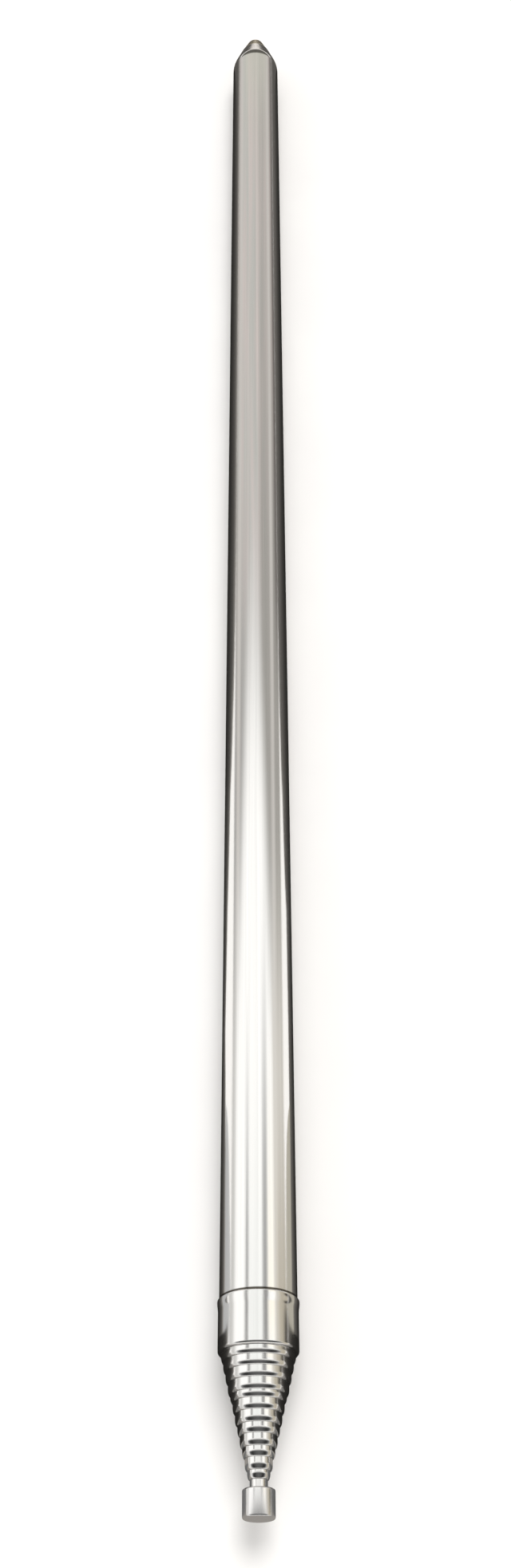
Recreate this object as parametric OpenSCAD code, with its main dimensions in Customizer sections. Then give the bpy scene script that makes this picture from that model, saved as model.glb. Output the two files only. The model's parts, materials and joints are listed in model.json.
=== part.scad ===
// Telescopic whip antenna: thirteen thin stainless tubes and a solid rod, shown closed.
// It lies along Y with its tip towards -Y. The origin is the centre of the base plug's end face.
// Every round piece is a revolved outline of [radius, distance] points, the distance counted from
// the piece's own rear end towards the tip.

/* [Sections] */
// Number of sections, the solid rod included
section_count = 14; // [8:1:14]
// Outside diameter of the outer tube
outer_d = 15; // [14.5:0.1:18]
// Wall thickness of every tube
wall = 0.25; // [0.22:0.01:0.28]
// Radial gap between a section and the bore around it
slide_gap = 0.2; // [0.18:0.01:0.23]

/* [Lengths] */
// From the base end to the mouth of the outer tube
closed_len = 447.4; // [300:0.1:600]
// How far a closed section usually stands out of the one around it
stand_out = 1.8; // [1.6:0.05:2.4]
// Length of rod that shows behind the tip cap
rod_neck = 1.5; // [1:0.1:4]
// Play between a closed section and its stop
rest_play = 0.1; // [0.05:0.01:0.2]

/* [Mouths] */
// Radial clearance between a rolled mouth and the section that slides in it
mouth_clear = 0.03; // [0.02:0.01:0.05]
// Length over which a mouth is rolled in outside
mouth_roll_len = 0.8; // [0.5:0.05:0.9]
// Length of the land inside a rolled mouth
mouth_land = 0.4; // [0.2:0.05:1]

/* [Tails and springs] */
// Width of the rolled ring that stops the next section inside a tube
stop_w = 0.8; // [0.6:0.05:0.9]
// Depth of that ring
stop_h = 0.35; // [0.3:0.01:0.4]
// From the seat of the next section to the bead behind the spring
tail_len = 1.5; // [0.5:0.1:4]
// Width of the two beads that hold a spring
bead_w = 1; // [0.6:0.1:1.5]
// Height of those beads
bead_h = 0.12; // [0.08:0.01:0.14]
// Length of a friction spring
spring_len = 20; // [8:0.5:30]
// Radial clearance of a spring in the bore around it
spring_clear = 0.02; // [0.01:0.005:0.03]
// Width of the slot along a spring
spring_slot = 1.2; // [0.6:0.1:2]
// Play along the tube between a spring and its beads
spring_play = 0.1; // [0.05:0.05:0.5]

/* [Ferrule] */
// Length of the ferrule on the outer tube's mouth
ferrule_len = 10.1; // [6:0.1:20]
// Wall thickness of the ferrule
ferrule_wall = 0.2; // [0.15:0.01:0.4]
// Thickness of the ferrule's front lip along the axis
ferrule_lip = 0.9; // [0.7:0.05:1.5]
// Width of the bead that locks the ferrule's rear end on the tube
ferrule_bead_w = 2; // [1:0.1:3]
// Height of that bead
ferrule_bead_h = 0.16; // [0.1:0.01:0.3]

/* [Base] */
// Length of the tapered shoulder behind the outer tube's straight length
shoulder_len = 10.6; // [9:0.1:12]
// Radius of the bend between the shoulder's cone and the straight length
shoulder_bend = 12; // [6:0.5:14]
// Length of the brass nub that stands out of the shoulder
nub_len = 6.4; // [4:0.1:10]
// Diameter of the nub where the tube closes on it
nub_d = 9.1; // [8:0.1:10]
// Diameter of the nub's flat end
nub_end_d = 4.4; // [4.2:0.1:5.4]
// Rounding between the nub's flat end and its side
nub_round = 0.6; // [0.2:0.05:1]
// Depth of the groove in front of the tube's rolled rim
neck_depth = 0.25; // [0.1:0.05:0.4]
// Width of that groove
neck_w = 0.5; // [0.3:0.05:0.8]
// Length of the plug's body inside the outer tube
plug_body_len = 12.6; // [11:0.1:24]
// Bore of the threaded hole, here the tapping size of an M4 thread
thread_bore_d = 3.3; // [2.5:0.1:3.4]
// Depth of the threaded hole
thread_depth = 10; // [5:0.5:12]

/* [Tip cap] */
// Diameter of the tip cap
cap_d = 6; // [5:0.1:9]
// Length of the tip cap
cap_len = 5; // [4:0.1:10]
// Rounding of the cap's edges
cap_round = 0.35; // [0.1:0.05:0.6]
// Length of rod inside the cap
cap_grip = 3.5; // [2:0.1:3.8]

/* [Hidden] */
// Clearance between pieces that are pressed or closed on each other
seat_gap = 0.01;
// Broken edge at the rear end of a section
edge = 0.05;
// Slope of a drilled hole's bottom, from the drill's 118 degree point
drill_slope = tan(90 - 118 / 2);
// How much more or less than usual each tube stands out, outermost first
stand_out_change = [-0.3, 0.1, 0.2, 0.3, -0.5, 0.2, 0.3, 0, 0.3, 0, 0.3, -0.3];

outer_r = outer_d / 2;
step = wall + slide_gap;
// Wall of a rolled mouth, measured across the lip
roll = step - mouth_clear;
tube_nums = [for (k = [2:section_count - 1]) k];
spring_nums = [for (k = [2:section_count]) k];

// The plug's inner end, where section 2 comes to rest
plug_front = nub_len + plug_body_len;
// The shoulder is a cone from its rim that bends into the straight tube without a corner. The
// bend's arc is centred bend_in away from the rim across the axis and shoulder_len along it.
shoulder_end = nub_len + shoulder_len;
rim_r = nub_d / 2 + 1.3 * wall;
bend_in = rim_r - outer_r + shoulder_bend;
cone_angle = atan2(shoulder_len, bend_in) - acos(shoulder_bend / norm([bend_in, shoulder_len]));

function two_digits(k) = str(k < 10 ? "0" : "", k);
function tube_name(k) = str("tube_", two_digits(k));
function spring_name(k) = str("friction_spring_", two_digits(k));

$fn = 72;
stainless = [0.80, 0.79, 0.78];
brass = [0.62, 0.58, 0.40];
bronze = [0.72, 0.50, 0.30];

// Outside radius and bore radius of section k, where 1 is the outer tube
function section_r(k) = outer_r - (k - 1) * step;
function bore_r(k) = section_r(k) - wall;

// How far section k stands out of the section around it
function stands_out(k) = k == section_count ? rod_neck : stand_out + stand_out_change[k - 2];
function stood_out(k) = k < 2 ? 0 : stands_out(k) + stood_out(k - 1);

// Place of section k's front end and rear end, from the base end
function mouth_at(k) = closed_len + stood_out(k);
inner_len = mouth_at(2) - plug_front - rest_play;
function tail_at(k) = mouth_at(k) - inner_len;

// Places along section k from its own rear end; the rod has no section to stop
function seat_at(k) = stands_out(min(k + 1, section_count));
function rear_bead_at(k) = seat_at(k) + tail_len;
function spring_at(k) = rear_bead_at(k) + bead_w + spring_play;
function front_bead_at(k) = spring_at(k) + spring_len + spring_play;

function reversed(points) = [for (i = [len(points) - 1:-1:0]) points[i]];

// Points along an arc about [r, z]
function arc(r, z, radius, from, to, steps = 8) =
    [for (i = [0:steps]) let (a = from + (to - from) * i / steps)
        [r + radius * cos(a), z + radius * sin(a)]];

// A rolled rib, outwards where its height is positive, that starts at z
function rib(r, z, width, height) =
    [for (i = [0:6]) [r + height * (1 - cos(60 * i)) / 2, z + width * i / 6]];

// One side of a tube's formed tail: the stop ring and the two beads
function tail_side(k, r) = concat(
    rib(r, seat_at(k) - rest_play - stop_w, stop_w, -stop_h),
    bead_side(k, r));
function bead_side(k, r) = concat(
    rib(r, rear_bead_at(k), bead_w, bead_h),
    rib(r, front_bead_at(k), bead_w, bead_h));

// The shoulder's outline, moved in by the given distance, from its rim to the straight tube
function shoulder(inset) = concat(
    [[rim_r - inset * cos(cone_angle), nub_len + inset * sin(cone_angle)]],
    arc(outer_r - shoulder_bend, shoulder_end, shoulder_bend - inset, -cone_angle, 0));

// Revolves an outline about the antenna's axis, with its start at the given distance
module turned(at = 0) {
    rotate([90, 0, 0]) translate([0, 0, at]) rotate_extrude() children();
}

// The bead that locks ferrule and outer tube together is rolled through both walls
function ferrule_bead(r, start) = rib(r, start + edge, ferrule_bead_w, ferrule_bead_h);

// Outer tube: closed in to a tapered shoulder at the base and cut square inside the ferrule
module outer_tube() {
    start = closed_len - ferrule_len;
    front = closed_len - ferrule_lip - seat_gap;
    color(stainless) turned() polygon(concat(
        shoulder(0),
        ferrule_bead(outer_r, start),
        [[outer_r, front], [outer_r - wall, front]],
        reversed(ferrule_bead(outer_r - wall, start)),
        reversed(shoulder(wall))));
}

// Ferrule: a sleeve closed on the mouth of the outer tube, with a bead behind and a lip in front
module mouth_ferrule() {
    sleeve_r = outer_r + ferrule_wall;
    lip_r = section_r(2) + mouth_clear;
    front_roll = sleeve_r - lip_r;
    color(stainless) turned(closed_len - ferrule_len) polygon(concat(
        [[outer_r + seat_gap, 0], [sleeve_r - edge, 0]],
        ferrule_bead(sleeve_r, 0),
        arc(lip_r, ferrule_len - front_roll, front_roll, 0, 90),
        [[lip_r, ferrule_len - ferrule_lip], [outer_r + seat_gap, ferrule_len - ferrule_lip]],
        reversed(ferrule_bead(outer_r + seat_gap, 0))));
}

// The outside of a tube's mouth, rolled in from the tube's radius
function mouth_side(r) =
    [for (i = [0:8]) let (a = 90 * i / 8)
        [r - roll * (1 - cos(a)), inner_len - mouth_roll_len * (1 - sin(a))]];

// Sliding tube k: rolled in at the mouth, with the stop ring and two beads at the tail
module section_tube(k) {
    r = section_r(k);
    land = inner_len - mouth_land;
    color(stainless) turned(tail_at(k)) polygon(concat(
        [[r - wall, 0], [r - edge, 0], [r, edge]],
        tail_side(k, r),
        mouth_side(r),
        [[r - roll, land], [r - wall, land - roll + wall]],
        reversed(tail_side(k, r - wall))));
}

// Innermost section: a solid rod with the same beads, its front end inside the tip cap
module rod() {
    r = section_r(section_count);
    end = inner_len + cap_grip;
    color(stainless) turned(tail_at(section_count)) polygon(concat(
        [[0, 0], [r - edge, 0], [r, edge]],
        bead_side(section_count, r),
        [[r, end - edge], [r - edge, end], [0, end]]));
}

// Split sleeve of spring bronze between the beads of section k, sprung against the bore around it
module friction_spring(k) {
    inside = section_r(k) + seat_gap;
    outside = bore_r(k - 1) - spring_clear;
    open = spring_slot / outside * 180 / PI;
    color(bronze) rotate([90, 0, 0]) translate([0, 0, tail_at(k) + spring_at(k)])
        rotate([0, 0, 90 + open / 2]) rotate_extrude(angle = 360 - open)
            translate([inside, 0]) square([outside - inside, spring_len]);
}

// Base plug: turned brass, with a tapered nub outside and its body closed in by the tube
module base_plug() {
    hole_r = thread_bore_d / 2;
    end_r = nub_end_d / 2;
    neck_r = nub_d / 2 - neck_depth;
    body_r = bore_r(1) - seat_gap;
    color(brass) turned() polygon(concat(
        [[hole_r, 0]],
        arc(end_r, nub_round, nub_round, -90, -12, 6),
        [[nub_d / 2, nub_len - neck_w - neck_depth], [neck_r, nub_len - neck_w],
         [neck_r, nub_len - seat_gap]],
        shoulder(wall + seat_gap),
        [[body_r, plug_front - 4 * edge], [body_r - 4 * edge, plug_front], [0, plug_front],
         [0, thread_depth + hole_r * drill_slope], [hole_r, thread_depth]]));
}

// Tip cap: a plain turned button with the rod's end in its blind hole
module tip_cap() {
    r = cap_d / 2;
    hole_r = section_r(section_count) + seat_gap;
    depth = cap_grip + seat_gap;
    color(stainless) turned(mouth_at(section_count)) polygon(concat(
        [[hole_r, 0]],
        arc(r - cap_round, cap_round, cap_round, -90, 0, 6),
        arc(r - cap_round, cap_len - cap_round, cap_round, 0, 90, 6),
        [[0, cap_len], [0, depth], [hole_r, depth]]));
}

base_plug();
outer_tube();
mouth_ferrule();
for (k = tube_nums) section_tube(k);
rod();
tip_cap();
for (k = spring_nums) friction_spring(k);
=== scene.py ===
"""Looks of the closed telescopic antenna: turned pieces, metals, floor, light and camera."""
import json
import math

import bpy
from mathutils import Euler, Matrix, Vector


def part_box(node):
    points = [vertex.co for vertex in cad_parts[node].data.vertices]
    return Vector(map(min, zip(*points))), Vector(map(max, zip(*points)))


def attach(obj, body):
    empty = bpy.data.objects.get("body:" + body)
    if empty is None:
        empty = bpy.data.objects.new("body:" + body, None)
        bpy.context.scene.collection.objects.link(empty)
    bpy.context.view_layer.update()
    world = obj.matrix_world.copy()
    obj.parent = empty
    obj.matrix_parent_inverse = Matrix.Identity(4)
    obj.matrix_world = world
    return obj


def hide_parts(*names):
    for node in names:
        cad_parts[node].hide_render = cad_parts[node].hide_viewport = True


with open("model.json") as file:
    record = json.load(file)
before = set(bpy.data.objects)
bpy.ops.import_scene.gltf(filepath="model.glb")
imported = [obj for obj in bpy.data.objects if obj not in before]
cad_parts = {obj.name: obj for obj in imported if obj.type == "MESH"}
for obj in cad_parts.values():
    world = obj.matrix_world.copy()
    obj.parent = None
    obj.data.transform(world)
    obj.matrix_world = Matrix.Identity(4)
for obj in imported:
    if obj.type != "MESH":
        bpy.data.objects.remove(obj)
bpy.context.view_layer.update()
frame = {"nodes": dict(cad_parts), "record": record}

MM = 0.001
SEGMENTS = 128

# Sizes of the part, in millimetres, as its source has them
OUTER_R = 7.5
WALL = 0.25
SLIDE_GAP = 0.2
SECTIONS = 14
MOUTH_CLEAR, MOUTH_LAND = 0.03, 0.4
STOP_W, STOP_H = 0.8, 0.35
STOP_PLAY = 0.1
TAIL_LEN = 1.5
BEAD_W, BEAD_H = 1.0, 0.12
SPRING_LEN, SPRING_PLAY = 20.0, 0.1
FERRULE_WALL, FERRULE_LIP = 0.2, 0.9
FERRULE_BEAD_W, FERRULE_BEAD_H = 2.0, 0.16
NUB_LEN, NUB_R, NUB_END_R, NUB_ROUND = 6.4, 4.55, 2.2, 0.6
NECK_DEPTH, NECK_W = 0.25, 0.5
SHOULDER_LEN, SHOULDER_BEND = 10.6, 12.0
THREAD_R, THREAD_DEPTH = 1.65, 10.0
DRILL_SLOPE = 31
CAP_ROUND, CAP_GRIP = 0.35, 3.5
SEAT_GAP = 0.01
EDGE, PLUG_EDGE = 0.05, 0.2

# Finer than in the source: how long a mouth's roll is, how round the rear of the ferrule's
# bead is, and the thread
MOUTH_ROLL_LEN = 1.2
BEAD_ROUND = 0.32
THREAD_PITCH, THREAD_CUT = 0.7, 0.3

STEP = WALL + SLIDE_GAP
ROLL = STEP - MOUTH_CLEAR
SHOULDER_END = NUB_LEN + SHOULDER_LEN
RIM_R = NUB_R + 1.3 * WALL
BEND_IN = RIM_R - OUTER_R + SHOULDER_BEND
CONE_ANGLE = (math.atan2(SHOULDER_LEN, BEND_IN)
              - math.acos(SHOULDER_BEND / math.hypot(BEND_IN, SHOULDER_LEN)))


def span(node):
    """Rear and front end of a CAD node, in millimetres from the base end towards the tip."""
    low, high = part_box(node)
    return -high[1] / MM, -low[1] / MM


def section_r(k):
    return OUTER_R - (k - 1) * STEP


def arc(r, s, radius, start, end, steps=14):
    """Outline points along an arc about (r, s), angles in degrees."""
    turns = [math.radians(start + (end - start) * i / steps) for i in range(steps + 1)]
    return [(r + radius * math.cos(a), s + radius * math.sin(a)) for a in turns]


def rib(r, s, width, height, steps=12):
    """A rolled rib that starts at s, outwards where height is positive."""
    return [(r + height * (1 - math.cos(2 * math.pi * i / steps)) / 2, s + width * i / steps)
            for i in range(steps + 1)]


def shoulder(inset):
    """The tapered shoulder's outline, moved in by inset, from its rim to the straight tube."""
    rim = (RIM_R - inset * math.cos(CONE_ANGLE), NUB_LEN + inset * math.sin(CONE_ANGLE))
    bend = arc(OUTER_R - SHOULDER_BEND, SHOULDER_END, SHOULDER_BEND - inset,
               -math.degrees(CONE_ANGLE), 0, 24)
    return [rim] + bend


def turned(name, outline, shape=None):
    """A mesh of an outline of (radius, distance) points revolved about the antenna's axis.

    The outline runs round the solid and joins up, or starts and ends on the axis. shape may
    change a point's radius by its angle, as a thread does.
    """
    verts, rings = [], []
    for r, s in outline:
        if r < 1e-6:
            rings.append([len(verts)] * SEGMENTS)
            verts.append((0, -s * MM, 0))
            continue
        rings.append(list(range(len(verts), len(verts) + SEGMENTS)))
        for i in range(SEGMENTS):
            a = 2 * math.pi * i / SEGMENTS
            radius = (shape(r, s, a) if shape else r) * MM
            verts.append((radius * math.cos(a), -s * MM, radius * math.sin(a)))
    closed = outline[0][0] > 1e-6
    pairs = list(zip(rings, rings[1:] + rings[:1])) if closed else list(zip(rings, rings[1:]))
    faces = []
    for a, b in pairs:
        for i in range(SEGMENTS):
            j = (i + 1) % SEGMENTS
            face = list(dict.fromkeys((a[i], a[j], b[j], b[i])))
            if len(face) > 2:
                faces.append(face)
    mesh = bpy.data.meshes.new(name)
    mesh.from_pydata(verts, [], faces)
    mesh.polygons.foreach_set("use_smooth", [True] * len(mesh.polygons))
    mesh.set_sharp_from_angle(angle=math.radians(38))
    piece = bpy.data.objects.new(name, mesh)
    bpy.context.scene.collection.objects.link(piece)
    return piece


def at(points, start):
    return [(r, s + start) for r, s in points]


def tail_side(k, r, seat):
    """One side of a section's formed tail: its stop ring, unless it is the rod, and two beads."""
    rear = seat + TAIL_LEN
    front = rear + BEAD_W + 2 * SPRING_PLAY + SPRING_LEN
    ring = rib(r, seat - STOP_PLAY - STOP_W, STOP_W, -STOP_H) if k < SECTIONS else []
    return ring + rib(r, rear, BEAD_W, BEAD_H) + rib(r, front, BEAD_W, BEAD_H)


def ferrule_bead(r, start):
    return rib(r, start + EDGE, FERRULE_BEAD_W, FERRULE_BEAD_H, 20)


def outer_tube_outline():
    start = span("mouth_ferrule")[0]
    front = span("outer_tube")[1]
    return (shoulder(0) + ferrule_bead(OUTER_R, start)
            + [(OUTER_R, front), (OUTER_R - WALL, front)]
            + ferrule_bead(OUTER_R - WALL, start)[::-1] + shoulder(WALL)[::-1])


def ferrule_outline():
    """The ferrule. Its bead is rounded at the rear and falls off gently in front."""
    start, end = span("mouth_ferrule")
    sleeve_r = OUTER_R + FERRULE_WALL
    inside_r = OUTER_R + SEAT_GAP
    lip_r = section_r(2) + MOUTH_CLEAR
    roll = sleeve_r - lip_r
    steps = 12
    fall = [(sleeve_r + FERRULE_BEAD_H * (1 + math.cos(math.pi * i / steps)) / 2,
             start + BEAD_ROUND + FERRULE_BEAD_W * i / steps) for i in range(1, steps + 1)]
    return ([(inside_r, start)]
            + arc(sleeve_r + FERRULE_BEAD_H - BEAD_ROUND, start + BEAD_ROUND, BEAD_ROUND, -90, 0)
            + fall + arc(lip_r, end - roll, roll, 0, 90)
            + [(lip_r, end - FERRULE_LIP), (inside_r, end - FERRULE_LIP)]
            + ferrule_bead(inside_r, start)[::-1])


def mouth_side(r, end, steps=16):
    """The outside of a tube's mouth, rolled in from the tube's radius."""
    turns = [math.pi / 2 * i / steps for i in range(steps + 1)]
    return [(r - ROLL * (1 - math.cos(a)), end - MOUTH_ROLL_LEN * (1 - math.sin(a))) for a in turns]


def tube_outline(k):
    start, end = span(f"tube_{k:02d}")
    seat = next_rear(k) - start
    r = section_r(k)
    land = end - MOUTH_LAND
    return ([(r - WALL, start), (r - EDGE, start), (r, start + EDGE)]
            + at(tail_side(k, r, seat), start)
            + mouth_side(r, end)
            + [(r - ROLL, land), (r - WALL, land - ROLL + WALL)]
            + at(tail_side(k, r - WALL, seat), start)[::-1])


def rod_outline():
    start, end = span("rod")
    r = section_r(SECTIONS)
    neck = span("tip_cap")[0] - span(f"tube_{SECTIONS - 1:02d}")[1]
    return ([(0, start), (r - EDGE, start), (r, start + EDGE)]
            + at(tail_side(SECTIONS, r, neck), start)
            + [(r, end - EDGE), (r - EDGE, end), (0, end)])


def next_rear(k):
    """Where the section inside section k has its rear end."""
    return span(f"tube_{k + 1:02d}" if k + 1 < SECTIONS else "rod")[0]


def cap_outline():
    start, end = span("tip_cap")
    r = (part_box("tip_cap")[1][0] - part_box("tip_cap")[0][0]) / 2 / MM
    hole_r = section_r(SECTIONS) + SEAT_GAP
    depth = start + CAP_GRIP + SEAT_GAP
    return ([(0, depth), (hole_r, depth), (hole_r, start)]
            + arc(r - CAP_ROUND, start + CAP_ROUND, CAP_ROUND, -90, 0)
            + arc(r - CAP_ROUND, end - CAP_ROUND, CAP_ROUND, 0, 90) + [(0, end)])


def plug_outline():
    front = span("base_plug")[1]
    neck_r = NUB_R - NECK_DEPTH
    body_r = OUTER_R - WALL - SEAT_GAP
    wall_rows = 160
    hole = [(THREAD_R, THREAD_DEPTH * (1 - i / wall_rows)) for i in range(wall_rows + 1)]
    return ([(0, THREAD_DEPTH + THREAD_R * math.tan(math.radians(DRILL_SLOPE)))] + hole
            + arc(NUB_END_R, NUB_ROUND, NUB_ROUND, -90, -12)
            + [(NUB_R, NUB_LEN - NECK_W - NECK_DEPTH), (neck_r, NUB_LEN - NECK_W),
               (neck_r, NUB_LEN - SEAT_GAP)]
            + shoulder(WALL + SEAT_GAP)
            + [(body_r, front - PLUG_EDGE), (body_r - PLUG_EDGE, front), (0, front)])


def thread(r, s, a):
    """Radius inside the plug's hole: a helical groove that fades out at both ends."""
    if abs(r - THREAD_R) > 1e-6 or s > THREAD_DEPTH:
        return r
    turn = (s / THREAD_PITCH + a / (2 * math.pi)) % 1
    fade = min(1, s / THREAD_PITCH, (THREAD_DEPTH - s) / THREAD_PITCH)
    return r + THREAD_CUT * fade * (1 - abs(2 * turn - 1))


class Nodes:
    """Adds shader nodes to one material or world and links them by name."""

    def __init__(self, owner):
        owner.use_nodes = True
        self.tree = owner.node_tree

    def add(self, kind, **inputs):
        node = self.tree.nodes.new(kind)
        for name, value in inputs.items():
            self.put(node, name.replace("_", " "), value)
        return node

    def put(self, node, name, value):
        socket = node.inputs[int(name) if name.isdigit() else name]
        if hasattr(value, "is_output"):
            self.tree.links.new(value, socket)
        else:
            socket.default_value = value

    def where(self, coordinates="Object"):
        return self.tree.nodes.new("ShaderNodeTexCoord").outputs[coordinates]

    def across(self):
        """The two UV coordinates, each by itself."""
        uv = self.tree.nodes.new("ShaderNodeUVMap").outputs[0]
        return self.add("ShaderNodeSeparateXYZ", Vector=uv).outputs[:2]

    def math(self, operation, a, b=0.0, c=0.0):
        node = self.tree.nodes.new("ShaderNodeMath")
        node.operation = operation
        self.put(node, "0", a)
        self.put(node, "1", b)
        self.put(node, "2", c)
        return node.outputs[0]

    def smooth(self, value, start, end):
        """0 up to start and 1 from end on, with a smooth step between them."""
        node = self.tree.nodes.new("ShaderNodeMapRange")
        node.interpolation_type = "SMOOTHSTEP"
        self.tree.links.new(value, node.inputs["Value"])
        node.inputs["From Min"].default_value = start
        node.inputs["From Max"].default_value = end
        return node.outputs["Result"]

    def mix(self, factor, a, b):
        """Colour a where factor is 0 and colour b where it is 1."""
        node = self.tree.nodes.new("ShaderNodeMix")
        node.data_type = "RGBA"
        self.tree.links.new(factor, node.inputs["Factor"])
        for socket, value in ((node.inputs[6], a), (node.inputs[7], b)):
            if isinstance(value, tuple):
                socket.default_value = (*value, 1)
            else:
                self.tree.links.new(value, socket)
        return node.outputs[2]

    def patches(self, around, along):
        """Long soft patches over two coordinates, about 0.5 and mostly from 0.3 to 0.7."""
        place = self.tree.nodes.new("ShaderNodeCombineXYZ")
        self.put(place, "X", self.math("MULTIPLY", around, 0.045))
        self.put(place, "Y", self.math("MULTIPLY", along, 22.0))
        noise = self.add("ShaderNodeTexNoise", Vector=place.outputs[0], Scale=1.0, Detail=4.0)
        return noise.outputs[0]

    def shade(self, colour, factor):
        """The colour times a plain factor."""
        node = self.tree.nodes.new("ShaderNodeVectorMath")
        node.operation = "SCALE"
        self.tree.links.new(colour, node.inputs[0])
        self.tree.links.new(factor, node.inputs["Scale"])
        return node.outputs[0]

    def ramp(self, fac, stops):
        """A colour ramp; each stop is (place, grey) or (place, (r, g, b))."""
        node = self.tree.nodes.new("ShaderNodeValToRGB")
        self.tree.links.new(fac, node.inputs[0])
        elements = node.color_ramp.elements
        while len(elements) < len(stops):
            elements.new(0.5)
        for element, (place, tone) in zip(elements, stops):
            element.position = place
            rgb = tone if isinstance(tone, tuple) else (tone,) * 3
            element.color = (*rgb, 1)
        return node.outputs[0]

    def glow(self, colour):
        """Makes the material show a colour, whatever lights it."""
        shader = self.add("ShaderNodeEmission", Color=colour, Strength=1.0)
        self.tree.links.new(shader.outputs[0], self.tree.nodes["Material Output"].inputs["Surface"])


# Painted shade: the dark tone of rings painted into the metal's colour in corners that lie in shade
PAINTED_SHADE_TONE = (0.10, 0.09, 0.075)


def metal(name, colour, rough, line_scale, line_depth, tarnish=None, painted_shade_ring=None):
    """Bright metal with fine lines along the antenna's axis.

    line_scale is the lines' fineness in lines per metre across them, and line_depth the
    strength of their bump. tarnish is a duller colour that lies over it in patches. The last
    argument is (distance from the base end, half width), in millimetres, of a dark ring of
    painted shade in a corner.
    """
    material = bpy.data.materials.new(name)
    nodes = Nodes(material)
    shader = nodes.tree.nodes["Principled BSDF"]
    where = nodes.where()
    stretch = nodes.add("ShaderNodeMapping", Vector=where)
    stretch.inputs["Scale"].default_value = (line_scale, line_scale / 400, line_scale)
    lines = nodes.add("ShaderNodeTexNoise", Vector=stretch.outputs[0],
                      Scale=1.0, Detail=4.0, Roughness=0.6)
    clouds = nodes.add("ShaderNodeTexNoise", Vector=where, Scale=60.0, Detail=3.0, Roughness=0.55)
    base = nodes.ramp(lines.outputs[0], [(0.3, tuple(0.94 * c for c in colour)), (0.7, colour)])
    if tarnish:
        patches = nodes.ramp(clouds.outputs[0], [(0.4, 0.15), (0.7, 0.9)])
        base = nodes.mix(patches, base, tarnish)
    # A ring of painted shade: the colour darkens to a dark tone around one place along the axis
    if painted_shade_ring:
        distance, half_width = painted_shade_ring[0] * MM, painted_shade_ring[1] * MM
        along = nodes.add("ShaderNodeSeparateXYZ", Vector=where).outputs[1]
        off = nodes.math("ABSOLUTE", nodes.math("ADD", along, distance))
        base = nodes.mix(nodes.smooth(off, half_width, half_width * 0.4), base, PAINTED_SHADE_TONE)
    nodes.tree.links.new(base, shader.inputs["Base Color"])
    shader.inputs["Metallic"].default_value = 1
    spread = nodes.math("MULTIPLY_ADD", clouds.outputs[0], rough * 0.6, rough * 0.7)
    nodes.tree.links.new(spread, shader.inputs["Roughness"])
    bump = nodes.add("ShaderNodeBump", Strength=line_depth, Distance=0.02 * MM, Height=lines.outputs[0])
    nodes.tree.links.new(bump.outputs[0], shader.inputs["Normal"])
    return material


def dress(piece, node, material):
    piece.data.materials.append(material)
    body = next(b for b, names in frame["record"]["behaviour"]["bodies"].items() if node in names)
    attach(piece, body)
    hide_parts(node)


STEEL = (0.88, 0.875, 0.86)


def build_antenna():
    steel = metal("drawn_stainless", STEEL, 0.11, 9000, 0.25)
    # The outer tube gets a ring of painted shade just behind the ferrule's rear edge
    tube_steel = metal("stainless_with_painted_shade", STEEL, 0.11, 9000, 0.25,
                       painted_shade_ring=(span("mouth_ferrule")[0] - 0.1, 0.4))
    cap_steel = metal("turned_stainless", (0.90, 0.895, 0.89), 0.2, 9000, 0.12)
    # The plug gets a ring of painted shade in the nub's neck, where it meets the tube's rim
    brass = metal("dull_brass", (0.60, 0.52, 0.36), 0.26, 3000, 0.2, tarnish=(0.40, 0.37, 0.27),
                  painted_shade_ring=(NUB_LEN, 0.5))
    bronze = metal("spring_bronze", (0.72, 0.48, 0.28), 0.25, 6000, 0.3)

    dress(turned("drawn_outer_tube", outer_tube_outline()), "outer_tube", tube_steel)
    dress(turned("rolled_ferrule", ferrule_outline()), "mouth_ferrule", steel)
    for k in range(2, SECTIONS):
        dress(turned(f"drawn_tube_{k:02d}", tube_outline(k)), f"tube_{k:02d}", steel)
    dress(turned("drawn_rod", rod_outline()), "rod", steel)
    dress(turned("turned_cap", cap_outline()), "tip_cap", cap_steel)
    dress(turned("turned_plug", plug_outline(), thread), "base_plug", brass)
    for k in range(2, SECTIONS + 1):
        for slot in frame["nodes"][f"friction_spring_{k:02d}"].material_slots:
            slot.material = bronze


# The floor touches the ferrule's bead, the antenna's widest place
FLOOR_Z = -(OUTER_R + FERRULE_WALL + FERRULE_BEAD_H) * MM


def stage_mesh(name, verts, faces, material):
    mesh = bpy.data.meshes.new(name)
    mesh.from_pydata(verts, [], faces)
    mesh.materials.append(material)
    piece = bpy.data.objects.new(name, mesh)
    bpy.context.scene.collection.objects.link(piece)
    return piece


def build_floor():
    material = bpy.data.materials.new("pale_floor")
    nodes = Nodes(material)
    shader = nodes.tree.nodes["Principled BSDF"]
    grain = nodes.add("ShaderNodeTexNoise", Vector=nodes.where(), Scale=25.0, Detail=3.0)
    tone = nodes.ramp(grain.outputs[0], [(0.3, (0.86, 0.85, 0.85)), (0.7, (0.89, 0.885, 0.88))])
    nodes.tree.links.new(tone, shader.inputs["Base Color"])
    shader.inputs["Roughness"].default_value = 0.85
    shader.inputs["Specular IOR Level"].default_value = 0.2
    half = 55.0
    corners = [(x * half, y * half, FLOOR_Z) for x, y in ((-1, -1), (1, -1), (1, 1), (-1, 1))]
    stage_mesh("floor", corners, [(0, 1, 2, 3)], material)


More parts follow.
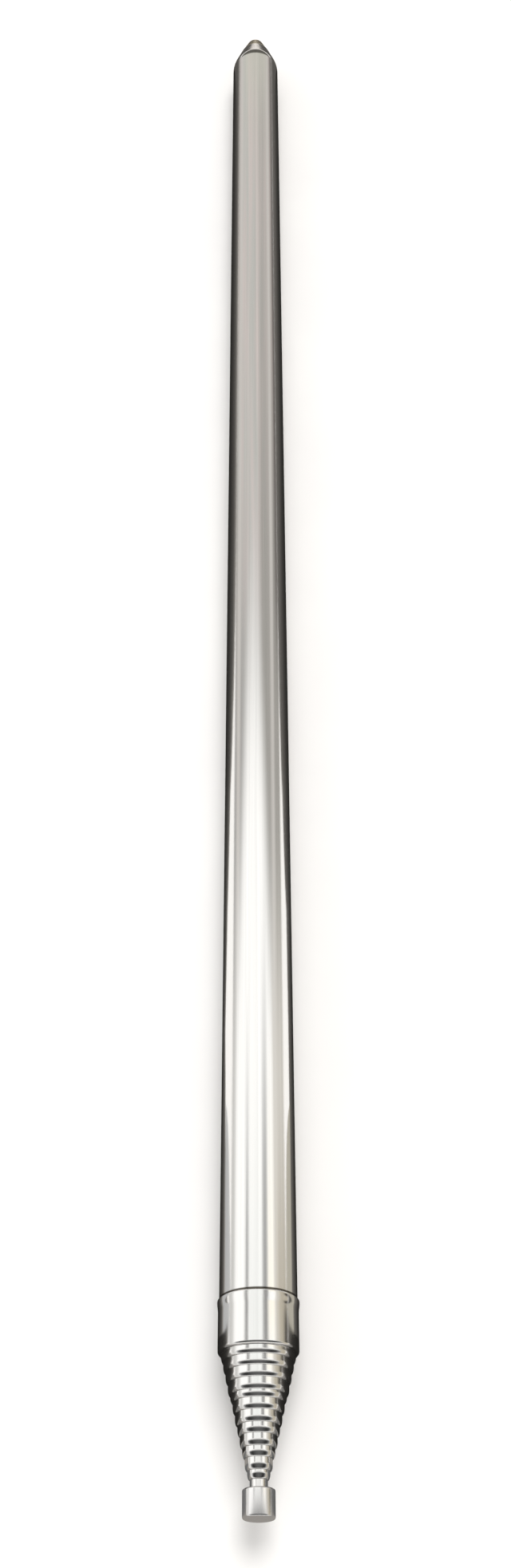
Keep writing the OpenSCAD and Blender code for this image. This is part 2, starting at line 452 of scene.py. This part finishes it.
# The tones of the cards that the metal mirrors, from their outer to their inner edge
LEFT_TONES = [(0.0, 0.38), (0.1, 0.24), (0.3, 0.10), (0.6, 0.05), (0.8, 0.03), (1.0, 0.02)]
RIGHT_TONES = [(0.0, 0.18), (0.3, 0.12), (0.6, 0.055), (0.8, 0.03), (1.0, 0.02)]
DARK_TONES = [(0.0, 0.30), (0.15, 0.08), (0.4, 0.03), (1.0, 0.015)]
BROWN_TINT = (1.0, 0.94, 0.87)
OLIVE_TINT = (1.0, 0.94, 0.80)
GREY_TINT = (1.0, 1.0, 1.0)

# Each card lies on the floor beside the antenna, where the photograph's view is mirrored to
# it from the metal between two places across the piece, 0 its middle and 1 its edge. It has
# its side, its tones, its tint, and along the antenna the distance from the base end, the
# piece's radius there and the two places.
CARDS = [
    ("left", -1, LEFT_TONES, BROWN_TINT,
     [(-20, 7.5, 0.712, 1), (213, 7.5, 0.712, 1), (243, 7.5, 0.715, 1), (270, 7.5, 0.73, 1),
      (296, 7.5, 0.77, 1), (320, 7.5, 0.83, 1), (352, 7.5, 0.88, 1), (381, 7.5, 0.91, 1),
      (408, 7.5, 0.87, 1), (434, 7.6, 0.86, 1), (446, 7.7, 0.86, 1)]),
    ("right", 1, RIGHT_TONES, BROWN_TINT,
     [(-20, 7.5, 0.712, 1), (250, 7.5, 0.712, 1), (270, 7.5, 0.717, 1),
      (296, 7.5, 0.735, 1), (320, 7.5, 0.78, 1), (352, 7.5, 0.85, 1), (381, 7.5, 0.86, 1),
      (408, 7.5, 0.86, 1), (434, 7.6, 0.86, 1), (446, 7.7, 0.86, 1)]),
    ("taper_left", -1, DARK_TONES, BROWN_TINT, [(445, 7.2, 0.74, 1), (466, 1.7, 0.74, 1)]),
    ("taper_right", 1, DARK_TONES, BROWN_TINT, [(445, 7.2, 0.712, 1), (466, 1.7, 0.712, 1)]),
    ("olive", 1, [(0.0, 0.5), (1.0, 0.5)], OLIVE_TINT,
     [(398, 7.5, 0.86, 0.87), (420, 7.5, 0.73, 0.86), (434, 7.6, 0.712, 0.86),
      (450, 7.7, 0.712, 0.86)]),
    ("grey", -1, [(0.0, 0.58), (1.0, 0.5)], GREY_TINT,
     [(398, 7.5, 0.86, 0.87), (420, 7.5, 0.75, 0.87), (434, 7.6, 0.712, 0.86),
      (450, 7.7, 0.712, 0.86)]),
    ("cap_left", -1, [(0.0, 0.2), (1.0, 0.14)], GREY_TINT, [(468, 3, 0.74, 1), (476, 3, 0.74, 1)]),
    ("cap_right", 1, [(0.0, 0.2), (1.0, 0.10)], GREY_TINT, [(468, 3, 0.71, 1), (476, 3, 0.71, 1)]),
]

# Plain flat cards: name, tone, lowest and highest x, lowest and highest distance from the base
# end, and height over the axis. They tone down the cap's face, the nub and the nub's sides.
FLAT_CARDS = [
    ("face", 0.32, -250, 250, 450, 640, -7.84),
    ("behind", 0.85, -70, 70, -420, 0, -7.8),
    ("nub_left", 0.1, -60, -3.4, -150, -4, -7.7),
    ("nub_right", 0.1, 3.4, 60, -150, -4, -7.7),
]

# A plate over the tip that darkens the lips: its half width, its ends and its height, and its
# tones from its middle to its sides
PLATE_HALF, PLATE_START, PLATE_END, PLATE_Z = 270, 444, 640, 100
PLATE_TONES = [(0.0, 0.12), (0.06, 0.10), (0.16, 0.03), (0.26, 0.05), (0.40, 0.26), (0.5, 0.45)]
CEILING_WHITE = (1.05, 1.04, 1.02)


def glow_material(name, tones, tint):
    """A surface that shows the tones of a ramp over its V coordinate, whatever lights it."""
    material = bpy.data.materials.new(name)
    nodes = Nodes(material)
    stops = [(place, tuple(tone * c for c in tint)) for place, tone in tones]
    nodes.glow(nodes.ramp(nodes.across()[1], stops))
    return material


def hide_all_but(piece, camera=False, mirror=False):
    """Only the camera or only the metal sees a stage piece, and nothing else does."""
    piece.visible_camera = camera
    piece.visible_glossy = mirror
    piece.visible_diffuse = piece.visible_shadow = False
    piece.visible_transmission = piece.visible_volume_scatter = False


# Where the photograph's camera stands, y and z in millimetres
CAMERA_AT = (-539.6, 311.7)


def mirrored(s, radius, across, side, height):
    """Where the camera's view meets a height below after the metal has mirrored it."""
    lean = math.asin(across)
    slope = math.atan2(CAMERA_AT[1], -s - CAMERA_AT[0])
    way = (math.sin(slope) * math.sin(2 * lean), math.cos(slope),
           math.sin(slope) * math.cos(2 * lean))
    steps = (height - radius * math.cos(lean)) / way[2]
    return side * (radius * across + steps * way[0]) * MM, (-s + steps * way[1]) * MM, height * MM


def build_cards():
    """Dark cards that only the metal mirrors, for its dark edges and lines.

    They lie just above the floor and each other, and the taper's lie above the others.
    """
    places = [0, 0.1, 0.2, 0.35, 0.5, 0.65, 0.8, 1]
    columns = len(places)
    for number, (name, side, tones, tint, stations) in enumerate(CARDS):
        height = FLOOR_Z / MM + 0.1 + (0.1 if "taper" in name else 0.01 * number)
        verts = [mirrored(s, radius, outer + (inner - outer) * place, side, height)
                 for s, radius, outer, inner in stations for place in places]
        faces = [(k, k + 1, k + 1 + columns, k + columns)
                 for i in range(len(stations) - 1) for k in range(i * columns, (i + 1) * columns - 1)]
        card = stage_mesh(f"card_{name}", verts, faces, glow_material(f"card_{name}", tones, tint))
        inward = card.data.uv_layers.new(name="inward").data
        for loop in card.data.loops:
            inward[loop.index].uv = (0, places[loop.vertex_index % columns])
        hide_all_but(card, mirror=True)
    for name, tone, x0, x1, s0, s1, z in FLAT_CARDS:
        corners = [(x * MM, -s * MM, z * MM) for x, s in ((x0, s0), (x1, s0), (x1, s1), (x0, s1))]
        material = bpy.data.materials.new(f"card_{name}")
        Nodes(material).glow((*(tone * c for c in BROWN_TINT), 1))
        hide_all_but(stage_mesh(f"card_{name}", corners, [(0, 1, 2, 3)], material), mirror=True)


def build_plate():
    """The plate fades out to its sides and its rear end, where it's as white as the ceiling."""
    material = bpy.data.materials.new("card_ahead")
    nodes = Nodes(material)
    u, v = nodes.across()
    off = nodes.math("ABSOLUTE", nodes.math("SUBTRACT", u, 0.5))
    nodes.glow(nodes.mix(nodes.smooth(v, 0.0, 0.13), CEILING_WHITE, nodes.ramp(off, PLATE_TONES)))
    spots = ((0, 0), (1, 0), (1, 1), (0, 1))
    corners = [((2 * u - 1) * PLATE_HALF * MM, -(PLATE_START + v * (PLATE_END - PLATE_START)) * MM,
                PLATE_Z * MM) for u, v in spots]
    plate = stage_mesh("card_ahead", corners, [(0, 1, 2, 3)], material)
    spread = plate.data.uv_layers.new(name="spread").data
    for loop in plate.data.loops:
        spread[loop.index].uv = spots[loop.vertex_index]
    hide_all_but(plate, mirror=True)


def build_backdrop():
    """A plain pale ball round everything, also round the whole drawn-out antenna.

    Only the camera sees it.
    """
    material = bpy.data.materials.new("pale_backdrop")
    Nodes(material).glow((1.0, 0.995, 0.99, 1))
    radius, centre_y, rows, columns = 20.4, -1.7, 32, 64
    verts = []
    for i in range(rows + 1):
        rise = math.pi * (i / rows - 0.5)
        for k in range(columns):
            turn = 2 * math.pi * k / columns
            verts.append((radius * math.cos(rise) * math.cos(turn),
                          centre_y + radius * math.cos(rise) * math.sin(turn),
                          radius * math.sin(rise)))
    faces = [(i * columns + k, i * columns + (k + 1) % columns,
              (i + 1) * columns + (k + 1) % columns, (i + 1) * columns + k)
             for i in range(rows) for k in range(columns)]
    hide_all_but(stage_mesh("backdrop", verts, faces, material), camera=True)


class Studio(Nodes):
    """The studio that the metal mirrors.

    around is the angle in degrees about the antenna's axis from straight up, to the right
    positive, and y is 1 towards the base end and -1 towards the tip's.
    """

    def __init__(self, world):
        super().__init__(world)
        x, self.y, z = self.add("ShaderNodeSeparateXYZ", Vector=self.where("Generated")).outputs
        self.around = self.math("MULTIPLY", self.math("ARCTAN2", x, z), 180 / math.pi)

    def band(self, centre, inner, outer):
        """1 within inner degrees of centre, and 0 beyond outer."""
        off = self.math("ABSOLUTE", self.math("SUBTRACT", self.around, centre))
        return self.smooth(off, outer, inner)

    def both(self, a, b):
        return self.math("MULTIPLY", a, b)

    def ceiling(self):
        """White, warmer at the right, with two seams and a fainter line."""
        near = self.smooth(self.y, 0.5, 0.3)
        white = self.mix(self.both(self.band(-8, 12, 26), near), (1.2, 1.19, 1.17), (1.04, 1.05, 1.03))
        right = self.both(self.both(self.smooth(self.around, 16, 34), near),
                          self.smooth(self.y, 0.21, 0.29))
        tone = self.mix(right, white, (1.22, 1.16, 1.02))
        seam = self.mix(near, (0.60, 0.60, 0.60), (0.36, 0.355, 0.35))
        left_seam = self.both(self.band(-34, 2.5, 7), self.smooth(self.y, 0.54, 0.36))
        right_seam = self.both(self.band(20, 3.5, 11), self.smooth(self.y, 0.58, 0.40))
        tone = self.mix(right_seam, self.mix(left_seam, tone, seam), seam)
        line = self.both(self.band(52, 2, 8), self.smooth(self.y, 0.62, 0.45))
        return self.mix(line, tone, (0.86, 0.83, 0.78))

    def walls(self, tone):
        """The walls at both sides, and a dark stretch low at the right beside the taper."""
        right = self.mix(self.smooth(self.y, 0.31, 0.46), (0.54, 0.49, 0.40), (0.74, 0.71, 0.66))
        tone = self.mix(self.smooth(self.around, 46, 66), tone, right)
        tone = self.mix(self.smooth(self.around, -66, -82), tone, (0.70, 0.69, 0.67))
        taper = self.both(self.smooth(self.y, 0.30, 0.285), self.smooth(self.y, 0.17, 0.19))
        return self.mix(self.both(taper, self.smooth(self.around, 70, 84)), tone, (0.06, 0.055, 0.05))

    def far_half(self):
        """The duller, patchy room behind the base end, with darker side walls."""
        patches = self.smooth(self.patches(self.around, self.y), 0.40, 0.60)
        pale = self.mix(patches, (0.575, 0.575, 0.545), (0.69, 0.615, 0.59))
        dull = self.mix(patches, (0.49, 0.475, 0.45), (0.60, 0.53, 0.505))
        left = self.mix(self.smooth(self.y, 0.60, 0.76), (0.40, 0.39, 0.38), pale)
        right = self.mix(self.smooth(self.y, 0.66, 0.84), (0.40, 0.385, 0.36), dull)
        far = self.mix(self.smooth(self.around, 4, 20), left, right)
        lines = self.math("ADD", self.band(-73, 4, 12), self.band(59, 3, 10))
        far = self.mix(lines, far, (0.66, 0.63, 0.60))
        side = self.mix(self.smooth(self.around, -80, 80), (0.40, 0.38, 0.35), (0.17, 0.155, 0.145))
        sides = self.math("ADD", self.smooth(self.around, -80, -91), self.smooth(self.around, 68, 84))
        far = self.mix(self.both(sides, self.smooth(self.y, 0.64, 0.70)), far, side)
        end = self.both(self.band(0, 45, 75), self.smooth(self.y, 0.852, 0.872))
        return self.mix(end, far, (0.69, 0.685, 0.60))

    def reach(self):
        """y, with a bend that carries the far half's border further down at the sides."""
        turn = self.math("MULTIPLY", self.math("ADD", self.around, 12.0), math.pi / 180)
        bend = self.math("MULTIPLY", self.math("SUBTRACT", 1.0, self.math("COSINE", turn)), 0.36)
        return self.math("ADD", self.y, self.math("MINIMUM", bend, 0.15))

    def streaks(self):
        """A factor about 1 that changes only around the axis."""
        noise = self.add("ShaderNodeTexNoise", Scale=1.0, Detail=4.0, Roughness=0.65)
        noise.noise_dimensions = "1D"
        self.put(noise, "W", self.math("MULTIPLY", self.around, 0.1))
        return self.math("MULTIPLY_ADD", noise.outputs[0], 0.5, 0.75)


def build_world():
    world = bpy.data.worlds.new("studio")
    bpy.context.scene.world = world
    studio = Studio(world)
    tone = studio.walls(studio.ceiling())
    tone = studio.mix(studio.smooth(studio.reach(), 0.60, 0.75), tone, studio.far_half())
    tone = studio.mix(studio.smooth(studio.y, 0.875, 0.90), tone, (0.12, 0.115, 0.10))
    tone = studio.shade(tone, studio.streaks())
    tone = studio.mix(studio.smooth(studio.y, -0.3, -0.7), tone, (0.8, 0.79, 0.78))
    studio.tree.links.new(tone, studio.tree.nodes["Background"].inputs["Color"])


def build_light():
    """Soft light on the floor from above and behind. The metal doesn't mirror it."""
    data = bpy.data.lights.new("soft_light", "SUN")
    data.energy = 1.6
    data.angle = math.radians(35)
    data.color = (1.0, 0.985, 0.97)
    light = bpy.data.objects.new("soft_light", data)
    light.rotation_euler = Euler((math.radians(-28), math.radians(8), 0))
    light.visible_glossy = False
    bpy.context.scene.collection.objects.link(light)


def build_camera():
    """The photograph's view: it looks down along the antenna from above its tip."""
    tilt = math.radians(54.27)
    focal = 2050 / 1965
    depth, rise = 315.45 * MM, -95.07 * MM
    seen = Vector((0, -432.575 * MM, 0))
    forward = Vector((0, math.cos(tilt), -math.sin(tilt)))
    up = Vector((0, math.sin(tilt), math.cos(tilt)))
    pan = -0.00133
    place = seen - depth * forward - rise * up
    place.x = pan * (-0.027 - place.y)
    data = bpy.data.cameras.new("camera")
    data.sensor_width = 36
    data.lens = focal * data.sensor_width
    data.clip_start, data.clip_end = 0.01, 300
    camera = bpy.data.objects.new("camera", data)
    camera.location = place
    camera.rotation_euler = Euler((math.pi / 2 - tilt, 0, pan))
    bpy.context.scene.collection.objects.link(camera)
    bpy.context.scene.camera = camera


build_antenna()
build_floor()
build_cards()
build_plate()
build_backdrop()
build_world()
build_light()
build_camera()
bpy.context.scene.view_settings.view_transform = "Standard"
